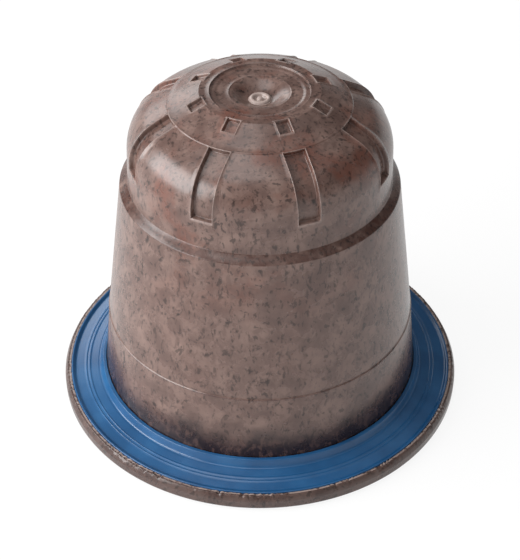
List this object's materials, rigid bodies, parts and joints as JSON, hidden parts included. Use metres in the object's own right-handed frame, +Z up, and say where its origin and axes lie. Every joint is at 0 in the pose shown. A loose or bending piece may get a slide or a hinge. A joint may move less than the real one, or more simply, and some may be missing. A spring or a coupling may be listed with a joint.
{
  "type": "coffee pod",
  "caption": "Single-serve coffee pod: tapered cup with a stepped crown, recesses over the shoulder, a lipped flange with a sealing ring and a sealed lid.",
  "frame": {"origin": "centre of the lid's underside, where the pod stands", "axes": "+Z up along the pod's axis, from the lid to the small end; -Y faces the viewer of the picture"},
  "size_m": [0.037, 0.037, 0.0308],
  "materials": {
    "bioplastic": "grey-brown fibre-filled bioplastic, speckled with dark flecks, satin gloss",
    "elastomer": "blue moulded elastomer, smooth and slightly glossy",
    "membrane": "pale paper-backed membrane, matt"
  },
  "bodies": {
    "root": {"pod_body": "bioplastic", "sealing_ring": "elastomer", "lid_film": "membrane"}
  },
  "joints": []
}
